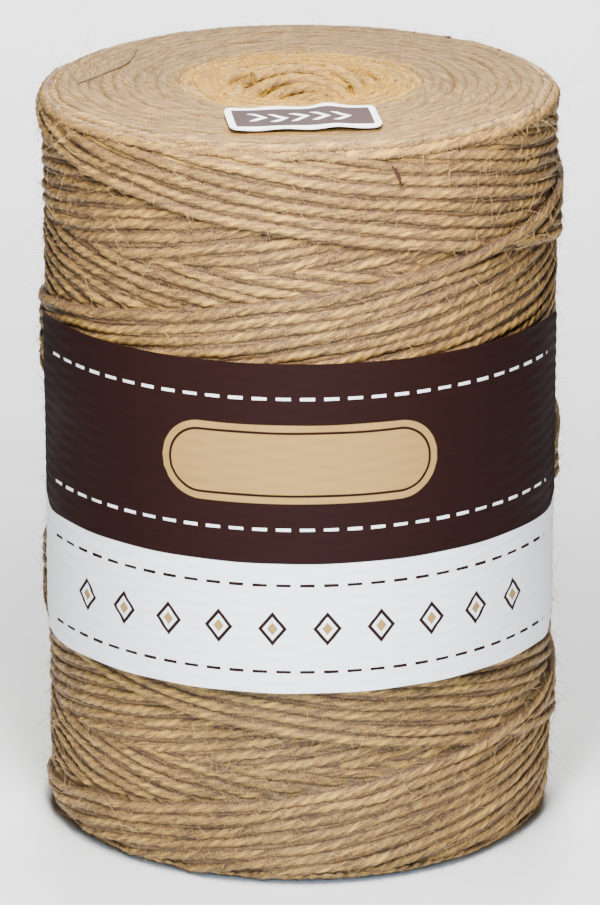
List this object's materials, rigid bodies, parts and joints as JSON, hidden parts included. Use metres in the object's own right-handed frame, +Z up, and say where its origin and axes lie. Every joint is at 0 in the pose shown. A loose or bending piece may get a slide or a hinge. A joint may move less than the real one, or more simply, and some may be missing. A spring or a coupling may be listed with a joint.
{
  "type": "ball of jute twine",
  "caption": "Upright roll of criss-cross wound jute twine with a flat foot, a soft centre hollow, a curved front label and a small top label.",
  "frame": {"origin": "middle of the flat foot, on the axis of the roll", "axes": "+Z up along the roll's axis, -Y towards the front label, +X to the right as seen from the front"},
  "size_m": [0.1194, 0.1204, 0.1729],
  "materials": {
    "jute": "dry, hairy, undyed jute fibre in tan with lighter and darker strands",
    "brown_paper": "smooth printed paper, dark brown above and white below",
    "white_paper": "smooth white paper with a dark brown printed field"
  },
  "bodies": {
    "root": {"twine_roll": "jute", "front_label": "brown_paper", "top_label": "white_paper"}
  },
  "joints": []
}
